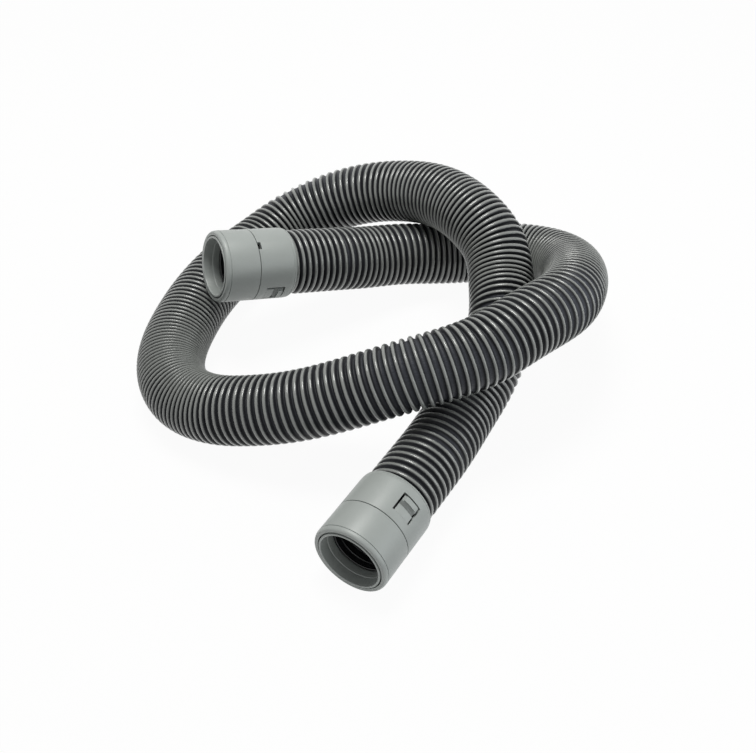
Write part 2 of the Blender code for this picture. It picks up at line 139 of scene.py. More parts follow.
# Clearances and edges of the mouldings
FIT = 0.3 * MM  # between pieces that stay together
SWIVEL_FIT = 0.4 * MM  # between pieces that turn on each other
HINGE_GAP = 0.03 * MM  # between a latch's root and the sleeve
SOFT_EDGE = 0.25 * MM  # rounding of a moulded edge
CUT_EDGE = 0.1 * MM  # rounding of an edge round a window or a latch
SHARP_ANGLE = radians(35)  # steeper edges of the cut shells stay crisp
SEAM_RELIEF = 0.15 * MM  # how far the sleeve's edge stands back from the seam
LINE_DEPTH = 0.3 * MM  # of the fine line round the sleeve's end
LINE_WIDTH = 0.25 * MM  # half of its width
DISH_STEPS = 12  # edges along the dish in a latch
DISH_REACH = 1.05  # times the dish's depth: points below that are the tab's underside
GROOVE_PLACES = (0.3, 1.1, 1.4)  # floor and wall of the lip's groove, in its depths
MOST_CUT = 0.45  # share of an edge that rounding its corner may take
BEVEL_STEPS = 3
BEVEL_ANGLE = radians(50)  # flatter edges aren't rounded
TURN_STEPS = 144  # faces round a turned piece
SECTOR_STEPS = 16  # faces round a window, a notch or a latch

# Inner ring
FLANGE = 1.8 * MM
NECK_WALL = 2 * MM
BORE_TAPER = 4.7 * MM  # length in which the bore narrows to the spigot's
RING_PITCH = 4.2 * MM  # of the fine rings in the bore
RING_HEIGHT = 0.4 * MM
RING_SHARPNESS = 24  # power that narrows a wave to a fine ring
RING_POINTS = 16  # points of the outline for each ring
LINING_WAVE = 0.25 * MM  # how far the hose's lining stands in at each turn

# Finishes: the scales of their patterns are per metre
GRIME_SCALE = 90
STREAK_SCALE = 900
CREASE_SCALE = (1100, 160, 1)  # across a crease and along it
CREASE_SLANTS = (radians(38), radians(-52))  # from the hose's line
FLOW_SCALE = 28
FLOW_STRETCH = (1, 1, 2.2)
CLOUD_SCALE = 140
SPECK_SCALE = 700
GRAIN_SCALE = 2600
BLOOM_SCALE = 300
FILM_SPECULAR = 0.2
FILM_COAT_ROUGHNESS = 0.22
RUBBER = (0.012, 0.012, 0.013, 1)
RUBBER_BLOOM = (0.03, 0.03, 0.03, 1)
ACETAL = (0.6, 0.6, 0.57)
FLOOR_COLOUR = (0.86, 0.86, 0.86, 1)
WHITE = (1, 1, 1, 1)

# Stage: place, size and colour of each light, and the view fitted to the photograph
FLOOR_RADIUS = 3
FLOOR_SIDES = 96
LIGHTS = {
    "key": ((-0.05, 0.25, 1.1), (0.5, 0.4), (1, 1, 0.97)),
    "fill": ((1.0, -0.4, 0.35), (0.8, 0.6), (0.92, 0.97, 1)),
}
LIT_POINT = (0.04, 0.03, 0.03)
CAMERA_PLACE = (0.0426, -0.4538, 0.4813)
CAMERA_PITCH = radians(43.73)  # how far it looks down
FOCAL_PIXELS = 1079.4
IMAGE_WIDTH = 756
SENSOR_WIDTH = 36
CLIP_START = 0.01


def metres(name, description, default):
    """A size in metres that a user may change."""
    return FloatProperty(
        name=name, description=description, default=default, min=0, precision=5, unit="LENGTH"
    )


def shade(name, description, default):
    """A linear colour that a user may change."""
    return FloatVectorProperty(
        name=name, description=description, default=default, min=0, max=1, subtype="COLOR"
    )


def degrees(name, description, default):
    """An angle that a user may change, given here in degrees."""
    return FloatProperty(
        name=name, description=description, default=radians(default), min=0, subtype="ANGLE"
    )


class HoseSettings(bpy.types.PropertyGroup):
    """Sizes and colours of the ribbed tube."""

    outer: metres("Outer diameter", "Across the rib crests", 0.042)
    rib_depth: metres("Rib depth", "From a crest down to the film, at most", 0.0036)
    rib_foot: metres("Rib foot", "Half a rib's width where the film is taut", 0.00125)
    # The pale line along each crest is painted light: a painted highlight on the film
    crest_width: metres("Crest width", "Half the width of the pale line", 0.0013)
    film: metres("Film", "Film that folds between two turns of the wire", 0.0068)
    slack: metres("Slack pitch", "Pitch from which the film is pulled taut", 0.0040)
    wall: metres("Wall", "Film between the valleys and the bore", 0.0013)
    squeeze: metres("End squeeze", "How much lower the crests are in a sleeve", 0.0008)
    insert: metres("Insert", "Length held inside a sleeve", 0.0068)
    sides: IntProperty(name="Sides", description="Mesh columns round the hose", default=36, min=8)
    # Painted light: the crest colour is painted lighter than the film, as light on the crests
    crest: shade("Crest", "Film over the wire", (0.225, 0.235, 0.225))
    # Painted shade: the fold colour is painted near black, as the shade between the wires
    fold_shade: shade("Fold", "Film folded in between the wires", (0.015, 0.016, 0.019))
    # The film's own colour, where no painted shade falls at a rib's foot
    stretched: shade("Stretched", "Film pulled out flat", (0.042, 0.046, 0.058))


class CuffSettings(bpy.types.PropertyGroup):
    """Sizes and colours of one cuff. Lengths are measured along its axis."""

    outer: metres("Outer radius", "Of both shells", 0.0226)
    wall: metres("Wall", "Of the sleeve round the latches", 0.0013)
    skirt_wall: metres("Skirt wall", "Of the skirt inside the sleeve", 0.0012)
    liner_wall: metres("Liner wall", "Of the liner behind its seat", 0.0012)
    collar: metres("Collar", "Length of the front shell", 0.0222)
    sleeve: metres("Sleeve", "Length of the rear shell", 0.0253)
    skirt: metres("Skirt", "Length of the skirt inside the sleeve", 0.0026)
    lip: metres("Lip", "Length of the rounded end of the collar", 0.0026)
    lip_drop: metres("Lip drop", "How far the lip falls", 0.0014)
    lip_groove: metres("Lip groove", "Depth of the fine groove behind the lip", 0.0004)
    face: metres("Face", "Width of the flat ring at the mouth", 0.0014)
    rim_gap: metres("Rim gap", "Width of the groove round the liner", 0.0007)
    rim_depth: metres("Rim groove depth", "Of the groove round the liner", 0.003)
    rim: metres("Rim", "Width of the liner's rim", 0.0012)
    proud: metres("Rim height", "How far the liner stands out", 0.0003)
    cone: metres("Cone", "Length of the tapering seat", 0.010)
    taper: metres("Taper", "How much the seat narrows", 0.0012)
    ledge: metres("Ledge", "Place of the fine ledge in the seat", 0.0056)
    ledge_height: metres("Ledge height", "Of the fine ledge in the seat", 0.0003)
    step: metres("Step", "From the seat down to the throat", 0.0009)
    throat_wall: metres("Throat wall", "Of the hose ring's throat", 0.0012)
    spigot: metres("Spigot", "Length of the hose ring in the hose", 0.019)
    shoulder: metres("Shoulder", "Rounded length of the sleeve", 0.0045)
    shoulder_drop: metres("Shoulder drop", "How far the shoulder falls", 0.001)
    end_line: metres("End line", "From the fine line to the sleeve's end", 0.0018)
    colour: shade("Cuff", "Moulded shells", (0.345, 0.37, 0.358))
    ring_colour: shade("Ring", "Ring fixed in the hose", (0.016, 0.017, 0.019))


class LatchSettings(bpy.types.PropertyGroup):
    """Sizes of the latches, their windows and the notch at the seam."""

    setback: metres("Setback", "From the seam to the window", 0.0055)
    slit: metres("Slit", "Open slit round the latch", 0.0013)
    half_angle: degrees("Half angle", "Half the width of a latch", 13.3)
    ramp_start: metres("Ramp start", "From the latch's root to the dish", 0.0048)
    ramp: metres("Ramp", "Length of the dish and the ramp", 0.0031)
    dish: metres("Dish", "Depth of the dish before the block", 0.0010)
    boss: metres("Boss", "Extra thickness of the tab under the dish", 0.0005)
    block_height: metres("Block height", "Of the raised block", 0.001)
    block_half_angle: degrees("Block half angle", "Half the block's width", 10.5)
    tip_step: metres("Tip step", "From the block to the latch's tip", 0.0003)
    notch: metres("Notch", "Length of the notch at the seam", 0.0022)
    notch_half_angle: degrees("Notch half angle", "Half the notch's width", 6.5)
    notch_place: degrees("Notch place", "Angle round the cuff, from latch a", 90)


class StageSettings(bpy.types.PropertyGroup):
    """Light, floor and camera."""

    floor_white: FloatProperty(
        name="Floor white", description="Share of pure white the camera sees", default=0.95
    )
    world: FloatProperty(name="Surround", description="Light from all round", default=0.23)
    key: FloatProperty(name="Key light", description="Power of the light above", default=9.4)
    fill: FloatProperty(name="Fill light", description="Power of the side light", default=3.2)


# -- shaders


class Value:
    """A number socket of a shader. Sums and products of it add Math nodes."""

    def __init__(self, shader, socket):
        self.shader = shader
        self.socket = socket

    def __add__(self, other):
        return self.shader.math("ADD", self, other)

    def __sub__(self, other):
        return self.shader.math("SUBTRACT", self, other)

    def __rsub__(self, other):
        return self.shader.math("SUBTRACT", other, self)

    def __mul__(self, other):
        return self.shader.math("MULTIPLY", self, other)

    __radd__ = __add__
    __rmul__ = __mul__


class Shader:
    """The nodes of a material or a world, built up by expressions."""

    def __init__(self, owner):
        owner.use_nodes = True
        self.nodes = owner.node_tree.nodes
        self.links = owner.node_tree.links

    def node(self, kind, settings=None, inputs=None, output=0):
        """Add a node, set it up, feed its inputs and return one of its outputs."""
        node = self.nodes.new("ShaderNode" + kind)
        for name, value in (settings or {}).items():
            setattr(node, name, value)
        for name, value in (inputs or {}).items():
            self.feed(node.inputs[name], value)
        return Value(self, node.outputs[output])

    def feed(self, socket, value):
        """Link a value to a socket, or set the socket to a constant."""
        if isinstance(value, Value):
            self.links.new(value.socket, socket)
        else:
            socket.default_value = value

    def math(self, operation, first, second):
        """A Math node on two numbers."""
        return self.node("Math", {"operation": operation}, {0: first, 1: second})

    def clamp(self, value):
        """The value kept between 0 and 1."""
        return self.node("Clamp", inputs={0: value})

    def mix(self, factor, first, second):
        """A colour between two colours."""
        settings = {"data_type": "RGBA"}
        inputs = {"Factor": factor, 6: first, 7: second}
        return self.node("Mix", settings, inputs, 2)

    def backdrop(self):
        """1 for the rays that show the white surround: seen, mirrored or through glass."""
        camera, glossy, transmission = (
            self.node("LightPath", output=ray)
            for ray in ("Is Camera Ray", "Is Glossy Ray", "Is Transmission Ray")
        )
        return self.clamp(camera + glossy + transmission)


class Finish(Shader):
    """A material with its patterns, fed to one surface."""

    def __init__(self, name, roughness):
        self.material = bpy.data.materials.new(name)
        super().__init__(self.material)
        self.surface = self.nodes["Principled BSDF"]
        self.supply("Roughness", roughness)

    def supply(self, name, value):
        """Link one of the surface's own sockets to a value, or set it."""
        self.feed(self.surface.inputs[name], value)

    def shades(self, pattern, colour, darker, lighter):
        """A colour between two tones of one colour, as the pattern goes from -0.5 to 0.5."""
        return self.mix(self.clamp(0.5 + pattern), tone(colour, darker), tone(colour, lighter))

    def noise(self, scale, detail=3, place=None, stretch=None):
        """Noise from -1 to 1 over the object, with an even or stretched scale."""
        place = place or self.node("TexCoord", output=3)
        if stretch:
            inputs = {"Vector": place, "Scale": stretch}
            place = self.node("Mapping", inputs=inputs)
        inputs = {"Vector": place, "Scale": scale, "Detail": detail}
        return 2 * self.node("TexNoise", inputs=inputs) - 1

    def attribute(self, name):
        """A number stored on the mesh's points."""
        return self.node("Attribute", {"attribute_name": name}, output=2)

    def bump(self, height, distance):
        """Feed a height, in metres times distance, to the surface's normal."""
        inputs = {"Height": height, "Distance": distance, "Strength": 1.0}
        self.supply("Normal", self.node("Bump", inputs=inputs))

    def paint(self, colour, roughness=None):
        """Feed the base colour and, where it varies, the roughness."""
        self.supply("Base Color", colour)
        if roughness is not None:
            self.supply("Roughness", self.clamp(roughness))


def tone(colour, factor):
    """The colour made lighter or darker, as four numbers."""
    return (*(min(1.0, channel * factor) for channel in colour), 1.0)


def film_material(settings):
    """Glossy film: painted light makes it pale over the wire, painted shade makes it black where
    it folds in and at each rib's foot, and it is creased where it is pulled.
    """
    shader = Finish("hose_film", 0.35)
    shader.supply("Specular IOR Level", FILM_SPECULAR)
    shader.supply("Coat Roughness", FILM_COAT_ROUGHNESS)
    ridge = shader.attribute("ridge")
    unshaded_share = shader.attribute("stretched")
    grime = shader.noise(GRIME_SCALE, 4)
    streak = shader.noise(STREAK_SCALE, 2)
    place = shader.node("Attribute", {"attribute_name": "film_place"}, output=1)
    creases = 0
    for slant in CREASE_SLANTS:
        inputs = {"Vector": place, "Rotation": (0, 0, slant), "Scale": CREASE_SCALE}
        creases = creases + shader.noise(1, 2, shader.node("Mapping", inputs=inputs))
    creases = creases * unshaded_share * (1 - ridge)
    # Painted light: the crests take the pale crest colour
    lit_crest_share = shader.clamp(ridge * 2.4 - 1.2 + 0.06 * streak)
    shader.supply("Coat Weight", lit_crest_share * shader.attribute("open"))
    crest = shader.shades(0.5 * grime, settings.crest, 0.88, 1.12)
    # Painted shade: the folded film is painted near black
    folded = shader.shades(0.5 * streak, settings.fold_shade, 0.7, 1.4)
    open_film = shader.shades(1.3 * creases, settings.stretched, 0.6, 1.5)
    # Painted shade: the valley takes the fold's painted shade at each rib's foot and where the
    # ribs crowd, and the film's own colour mid-way along taut film
    valley = shader.mix(shader.clamp(unshaded_share * 1.6), folded, open_film)
    shader.paint(
        shader.mix(lit_crest_share, valley, crest),
        0.48 - 0.27 * ridge + 0.04 * grime + 0.04 * streak,
    )
    shader.bump(creases * 0.9 + streak * 0.12 + grime * 0.1, 0.0003)
    return shader.material


def moulded_material(name, colour, roughness=0.4, texture=1.0):
    """Satin moulded plastic: spark texture, flow marks, slight rubbing, and painted shade where
    the mesh marks a hollow.
    """
    shader = Finish(name, roughness)
    flow = shader.noise(FLOW_SCALE, 3, stretch=FLOW_STRETCH)
    cloud = shader.noise(CLOUD_SCALE, 4)
    grain = shader.noise(GRAIN_SCALE, 2)
    speck = shader.clamp(shader.noise(SPECK_SCALE, 1) * 3 - 1.6)
    base = shader.shades(0.35 * flow + 0.2 * cloud, colour, 0.93, 1.06)
    worn = shader.mix(0.25 * speck, base, tone(colour, 1.5))
    # Painted shade: the deeper a point lies in a latch's dish, the darker it is painted
    soil = shader.clamp(shader.attribute("soil") * (0.8 + 0.15 * cloud))
    dish_shaded = shader.mix(soil, worn, tone(colour, 0.3))
    shader.paint(dish_shaded, roughness + 0.05 * cloud + 0.03 * flow + 0.05 * speck)
    shader.bump(texture * (grain * 0.35 + cloud * 0.25), 0.00008)
    return shader.material


def rubber_material():
    """Matt black rubber with a powdery bloom."""
    shader = Finish("seal_rubber", 0.7)
    bloom = shader.noise(BLOOM_SCALE, 4)
    colour = shader.mix(shader.clamp(0.4 + 0.4 * bloom), RUBBER, RUBBER_BLOOM)
    shader.paint(colour, 0.68 + 0.1 * bloom)
    shader.bump(bloom, 0.0001)
    return shader.material


# -- curves


def smooth_curve(points, first_direction, last_direction, samples=24):
    """Cubic spline of continuous curvature through the points, with its end directions."""
    chords = np.linalg.norm(np.diff(points, axis=0), axis=1)
    count = len(points)
    system = np.eye(count)
    slopes = np.zeros((count, 3))
    slopes[0] = first_direction
    slopes[-1] = last_direction
    for i in range(1, count - 1):
        before, after = chords[i - 1], chords[i]
        system[i, i - 1 : i + 2] = after, 2 * (before + after), before
        rise_before = (points[i] - points[i - 1]) / before
        rise_after = (points[i + 1] - points[i]) / after
        slopes[i] = 3 * (after * rise_before + before * rise_after)
    slopes = np.linalg.solve(system, slopes)
    t = np.linspace(0, 1, samples, endpoint=False)[:, None]
    runs = []
    for i, chord in enumerate(chords):
        run = (1 + 2 * t) * (1 - t) ** 2 * points[i]
        run += t * (1 - t) ** 2 * chord * slopes[i]
        run += t**2 * (3 - 2 * t) * points[i + 1]
        run -= t**2 * (1 - t) * chord * slopes[i + 1]
        runs.append(run)
    return np.vstack(runs + [points[-1:]])


def along(path):
    """Distance along the path at each of its points."""
    return np.append(0, np.cumsum(np.linalg.norm(np.diff(path, axis=0), axis=1)))


def at(distances, travelled, values):
    """The values of a path at the given distances along it."""
    return np.stack([np.interp(distances, travelled, values[:, k]) for k in range(3)], axis=-1)


def unit(vectors):
    """The vectors at length 1."""
    return vectors / np.linalg.norm(vectors, axis=-1, keepdims=True)


def hose_path(hose, plan):
    """Centre line from the rear sleeve to the front one, evenly spaced, none below the floor."""
    tips = []
    for side in SIDES:
        place = cuff_frame(side)
        tips.append(np.array(place @ Vector((plan.hose_start, 0, 0))))
        tips.append(np.array(place @ Vector((plan.hose_start + hose.outer, 0, 0))))
    rear_tip, rear_knee, front_tip, front_knee = tips
    middle = smooth_curve(
        np.array([rear_knee, *ROUTE, front_knee]),
        (rear_knee - rear_tip) / hose.outer,
        (front_tip - front_knee) / hose.outer,
    )
    path = np.vstack([rear_tip, middle, front_tip])
    path[:, 2] = np.maximum(path[:, 2], hose.outer / 2)
    travelled = along(path)
    even = np.linspace(0, travelled[-1], round(travelled[-1] / PATH_STEP))
    return at(even, travelled, path)


def cells(grid):
    """The values at the four corners of each cell of a grid, going round the cell."""
    corners = [grid[:-1, :-1], grid[:-1, 1:], grid[1:, 1:], grid[1:, :-1]]
    return np.stack(corners, axis=2)


class HelixField:
    """Everything that varies along the hose: its line, its frames, its pitch and its turns."""

    def __init__(self, path, girth):
        self.girth = girth
        self.travelled = along(path)
        self.length = self.travelled[-1]
        self.path = path
        self.tangent = unit(np.gradient(path, self.travelled, axis=0))
        self.curvature = np.gradient(self.tangent, self.travelled, axis=0)
        self.side = unit(np.cross(self.tangent, (0, 0, 1)))
        self.up = np.cross(self.side, self.tangent)
        known, pitches = np.array(PITCH).T
        self.pitch = np.interp(self.travelled, known, pitches)
        step = self.length / (len(path) - 1)
        self.turns = np.append(0, np.cumsum(step / self.pitch[1:]))

    def spokes(self, turns, angles):
        """Distances, outward directions and the pitch at the crests, at places on the helix."""
        distances = np.interp(turns, self.turns, self.travelled)
        side = at(distances, self.travelled, self.side)
        up = at(distances, self.travelled, self.up)
        spoke = side * np.cos(angles)[None, :, None] + up * np.sin(angles)[None, :, None]
        bend = (at(distances, self.travelled, self.curvature) * spoke).sum(axis=-1)
        pitch = np.interp(distances, self.travelled, self.pitch)
        return distances, spoke, pitch * (1 - bend * self.girth / (2 * pi))

    def sweep(self, foot_of, sides, radius_of):
        """Mesh whose rows follow the helix, close together on the crests."""
        angles = np.linspace(0, 2 * pi, sides + 1)
        turn_count = int(np.ceil(self.turns[-1])) + 1
        crests = np.arange(turn_count + 1)[:, None] - angles / (2 * pi)
        open_pitch = self.spokes(crests, angles)[2]
        feet = np.minimum(foot_of(open_pitch) / open_pitch, WIDEST_FOOT)[:, None]
        leaving = feet[:-1] * RIB_ROWS[:, None]
        arriving = 1 - feet[1:] * RIB_ROWS[:0:-1, None]
        halfway = np.full_like(feet[:-1], 0.5)
        share = np.concatenate([leaving, halfway, arriving], axis=1)
        per_turn = share.shape[1]
        turns = (share + crests[:-1, None]).reshape(-1, sides + 1)
        distances, spoke, open_pitch = self.spokes(turns, angles)
        from_end = np.minimum(distances, self.length - distances)
        inside = (turns > 0) & (turns < self.turns[-1])
        radius, values = radius_of(share.reshape(turns.shape), open_pitch, from_end, inside)
        values = {name: value[:, :-1] for name, value in values.items()}
        points = at(distances, self.travelled, self.path) + spoke * radius[..., None]
        index = np.arange(turns[:, :-1].size).reshape(-1, sides)
        closing = np.concatenate([np.zeros(per_turn, int), index[:-per_turn, 0]])
        quads = cells(np.column_stack([index, closing])[..., None])[..., 0]
        around = np.broadcast_to(angles * self.girth / (2 * pi), turns.shape)
        places = cells(np.stack([around, distances, 0 * around], axis=-1))
        return points[:, :-1].reshape(-1, 3), quads.reshape(-1, 4), values, places


# -- meshes


def cuff_frame(side):
    """Place of a cuff: its mouth's middle, its axis as X and its first latch at +Z."""
    swivel = JOINTS[side + "_swivel"]
    hinge = Vector(JOINTS[side + "_latch_a_press"]["pos_m"])
    origin = Vector(swivel["pos_m"])
    along_axis = Vector(swivel["axis"]).normalized()
    outwards = hinge - origin
    outwards = (outwards - along_axis * outwards.dot(along_axis)).normalized()
    across = outwards.cross(along_axis)
    place = Matrix((along_axis, across, outwards)).transposed().to_4x4()
    place.translation = origin
    return place


def add_object(name, data):
    """A new object in the scene."""
    made = bpy.data.objects.new(name, data)
    bpy.context.scene.collection.objects.link(made)
    return made


def add_piece(name, mesh, material, body, sharp_angle=None):
    """Add an object for the mesh, give it its material and let it ride on a body."""
    piece = add_object(name, mesh)
    mesh.materials.append(material)
    mesh.shade_smooth()
    if sharp_angle:
        mesh.set_sharp_from_angle(angle=sharp_angle)
    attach(piece, body)
    return piece


def mesh_from(bm, name):
    """Turn the bmesh into a mesh whose faces point outwards."""
    bmesh.ops.recalc_face_normals(bm, faces=bm.faces)
    mesh = bpy.data.meshes.new(name)
    bm.to_mesh(mesh)
    bm.free()
    return mesh


def rounded(outline, radius, steps=3):
    """The closed outline with each corner rounded, as far as its edges allow."""
    softened = []
    neighbours = zip(outline[-1:] + outline[:-1], outline, outline[1:] + outline[:1])
    for before, corner, after in neighbours:
        corner = Vector(corner)
        back, forth = Vector(before) - corner, Vector(after) - corner
        cut = min(radius, MOST_CUT * back.length, MOST_CUT * forth.length)
        start = corner + back.normalized() * cut
        end = corner + forth.normalized() * cut
        for step in range(steps + 1):
            t = step / steps
            softened.append(start * (1 - t) ** 2 + corner * 2 * t * (1 - t) + end * t**2)
    return softened


def quarter(start, corner, end, steps=10):
    """Points of a quarter ellipse from start to end that bulges towards the corner."""
    centre = Vector(start) + Vector(end) - Vector(corner)
    to_start, to_end = Vector(start) - centre, Vector(end) - centre
    angles = [i * pi / 2 / steps for i in range(steps + 1)]
    return [tuple(centre + to_start * cos(a) + to_end * sin(a)) for a in angles]


def turned(name, outline, half_angle=None, middle_angle=0):
    """A closed outline of (x, r) points turned round the X axis, or part of the way."""
    bm = bmesh.new()
    corners = [bm.verts.new((x, 0, r)) for x, r in outline]
    parts = [bm.edges.new(pair) for pair in zip(corners, corners[1:] + corners[:1])]
    whole = half_angle is None
    if not whole:
        parts.append(bm.faces.new(corners))
        turn = Euler((middle_angle - half_angle, 0, 0)).to_matrix()
        bmesh.ops.rotate(bm, verts=corners, matrix=turn)
    bmesh.ops.spin(
        bm,
        geom=corners + parts,
        cent=(0, 0, 0),
        axis=(1, 0, 0),
        angle=2 * (pi if whole else half_angle),
        steps=TURN_STEPS if whole else SECTOR_STEPS,
        use_merge=whole,
    )
    return mesh_from(bm, name)


def combined(name, base, others, operation):
    """The base mesh after a Boolean with the others, with its cut edges rounded."""
    holder = add_object(name, base)
    helpers = [holder]
    for other in others:
        helper = add_object(other.name, other)
        helpers.append(helper)
        modifier = holder.modifiers.new(other.name, "BOOLEAN")
        modifier.operation = operation
        modifier.solver = "EXACT"
        modifier.object = helper
    bevel = holder.modifiers.new("edges", "BEVEL")
    bevel.width = CUT_EDGE
    bevel.segments = BEVEL_STEPS
    bevel.limit_method = "ANGLE"
    bevel.angle_limit = BEVEL_ANGLE
    depsgraph = bpy.context.evaluated_depsgraph_get()
    mesh = bpy.data.meshes.new_from_object(holder.evaluated_get(depsgraph))
    mesh.name = name
    for helper in helpers:
        bpy.data.objects.remove(helper)
    mesh.materials.clear()
    return mesh


def box_outline(front, rear, inner, outer):
    """Outline of a plain ring."""
    return [(front, inner), (front, outer), (rear, outer), (rear, inner)]


# -- outlines of the cuff


class CuffPlan:
    """Radii and places along a cuff's axis that follow from its settings and the hose's."""

    def __init__(self, cuff, latch, hose):
        self.cuff = cuff
        self.latch = latch
        self.hose_bore = hose.outer / 2 - hose.rib_depth - hose.wall
        self.seat = hose.outer / 2 - hose.squeeze + SWIVEL_FIT
        self.bore = cuff.outer - cuff.wall
        self.skirt_outer = self.bore - FIT
        self.skirt_bore = self.skirt_outer - cuff.skirt_wall
        self.face_outer = cuff.outer - cuff.lip_drop
        self.face_inner = self.face_outer - cuff.face
        self.rim_outer = self.face_inner - cuff.rim_gap
        self.mouth = self.rim_outer - cuff.rim
        self.cone_end = self.mouth - cuff.taper
        self.throat = self.cone_end - cuff.step
        self.throat_outer = self.throat + cuff.throat_wall
        self.liner_bore = self.throat_outer + SWIVEL_FIT
        self.tail_outer = self.liner_bore + cuff.liner_wall
        self.sleeve_front = cuff.collar + FIT
        self.sleeve_rear = self.sleeve_front + cuff.sleeve
        self.hose_start = self.sleeve_rear - hose.insert
        self.skirt_end = cuff.collar + cuff.skirt
        self.skirt_root = cuff.collar - cuff.skirt_wall
        self.flange_front = self.skirt_end + SWIVEL_FIT
        self.flange_rear = self.flange_front + FLANGE
        self.neck_end = self.hose_start - FIT
        self.window_front = self.sleeve_front + latch.setback
        self.window_rear = self.hose_start - SWIVEL_FIT
        self.tip = self.window_rear - latch.slit


def collar_outline(plan):
    """Front shell: rounded lip, fine groove, straight wall and the skirt inside the sleeve."""
    cuff = plan.cuff
    lip = quarter((0, plan.face_outer), (0, cuff.outer), (cuff.lip, cuff.outer))
    start, end, wall = (cuff.lip + share * cuff.lip_groove for share in GROOVE_PLACES)
    floor = cuff.outer - cuff.lip_groove
    groove = [(start, floor), (end, floor), (wall, cuff.outer)]
    rear = rounded(
        [
            (cuff.collar, cuff.outer),
            (cuff.collar, plan.skirt_outer),
            (plan.skirt_end, plan.skirt_outer),
            (plan.skirt_end, plan.skirt_bore),
            (plan.skirt_root, plan.skirt_bore),
            (plan.skirt_root, plan.rim_outer + FIT),
            (cuff.rim_depth, plan.rim_outer + FIT),
            (cuff.rim_depth, plan.face_inner),
            (0, plan.face_inner),
        ],
        SOFT_EDGE,
    )
    return lip + groove + rear


def sleeve_outline(plan):
    """Rear shell: straight wall, rounded shoulder with a fine line, and the hose's seat."""
    cuff = plan.cuff
    shoulder = quarter(
        (plan.sleeve_rear - cuff.shoulder, cuff.outer),
        (plan.sleeve_rear - SOFT_EDGE, cuff.outer),
        (plan.sleeve_rear - SOFT_EDGE, cuff.outer - cuff.shoulder_drop),
    )
    line = plan.sleeve_rear - cuff.end_line
    fall = cuff.shoulder_drop * (1 - sqrt(1 - (1 - cuff.end_line / cuff.shoulder) ** 2))
    before = [point for point in shoulder if point[0] < line - LINE_WIDTH]
    after = [point for point in shoulder if point[0] > line + LINE_WIDTH]
    shoulder = before + [(line, cuff.outer - fall - LINE_DEPTH)] + after
    edge = [(plan.sleeve_rear, cuff.outer - cuff.shoulder_drop - SOFT_EDGE)]
    inside = rounded(
        [
            (plan.sleeve_rear, plan.seat),
            (plan.hose_start, plan.seat),
            (plan.hose_start - SWIVEL_FIT, plan.bore),
            (plan.sleeve_front + SEAM_RELIEF, plan.bore),
            (plan.sleeve_front + SEAM_RELIEF, cuff.outer),
        ],
        SOFT_EDGE,
    )
    return shoulder + edge + inside


def liner_outline(plan):
    """Inner tube of the mouth: flat rim, and a tapering seat with a fine ledge."""
    cuff = plan.cuff
    seat = plan.skirt_root - FIT
    slope = cuff.taper - cuff.ledge_height
    at_ledge = plan.mouth - slope * cuff.ledge / cuff.cone
    return rounded(
        [
            (-cuff.proud, plan.mouth),
            (-cuff.proud, plan.rim_outer),
            (cuff.rim_depth, plan.rim_outer),
            (seat - cuff.liner_wall, plan.tail_outer),
            (seat - cuff.liner_wall, plan.rim_outer),
            (seat, plan.rim_outer),
            (seat, plan.tail_outer),
            (plan.flange_front - FLANGE, plan.tail_outer),
            (plan.flange_front - FLANGE, plan.liner_bore),
            (cuff.cone, plan.liner_bore),
            (cuff.cone, plan.cone_end),
            (cuff.ledge + cuff.ledge_height, at_ledge - cuff.ledge_height),
            (cuff.ledge, at_ledge),
        ],
        SOFT_EDGE,
    )


def hose_ring_outline(plan):
    """Ring fixed to the hose: throat, flange, neck and spigot, with fine rings in its bore."""
    front = plan.cuff.cone + SWIVEL_FIT
    spigot_end = plan.neck_end + plan.cuff.spigot
    neck_outer = plan.throat + NECK_WALL
    flange_outer = plan.bore - SWIVEL_FIT
    outside = rounded(
        [
            (front, plan.throat),
            (front, plan.throat_outer),
            (plan.flange_front, plan.throat_outer),
            (plan.flange_front, flange_outer),
            (plan.flange_rear, flange_outer),
            (plan.flange_rear, neck_outer),
            (plan.neck_end, neck_outer),
            (plan.neck_end, plan.hose_bore - FIT),
            (spigot_end, plan.hose_bore - FIT),
        ],
        SOFT_EDGE,
    )
    rings = round((spigot_end - front) / RING_PITCH)
    places = np.linspace(spigot_end, front + SOFT_EDGE, rings * RING_POINTS)
    spigot_bore = plan.hose_bore - FIT - plan.cuff.throat_wall
    widths = np.interp(
        places,
        (plan.neck_end - BORE_TAPER, plan.neck_end),
        (plan.throat, spigot_bore),
    )
    raised = RING_HEIGHT * np.abs(np.cos(pi * (places - front) / RING_PITCH)) ** RING_SHARPNESS
    inside = [(x, r) for x, r in zip(places, widths - raised)]
    return outside[1:] + inside


# -- pieces


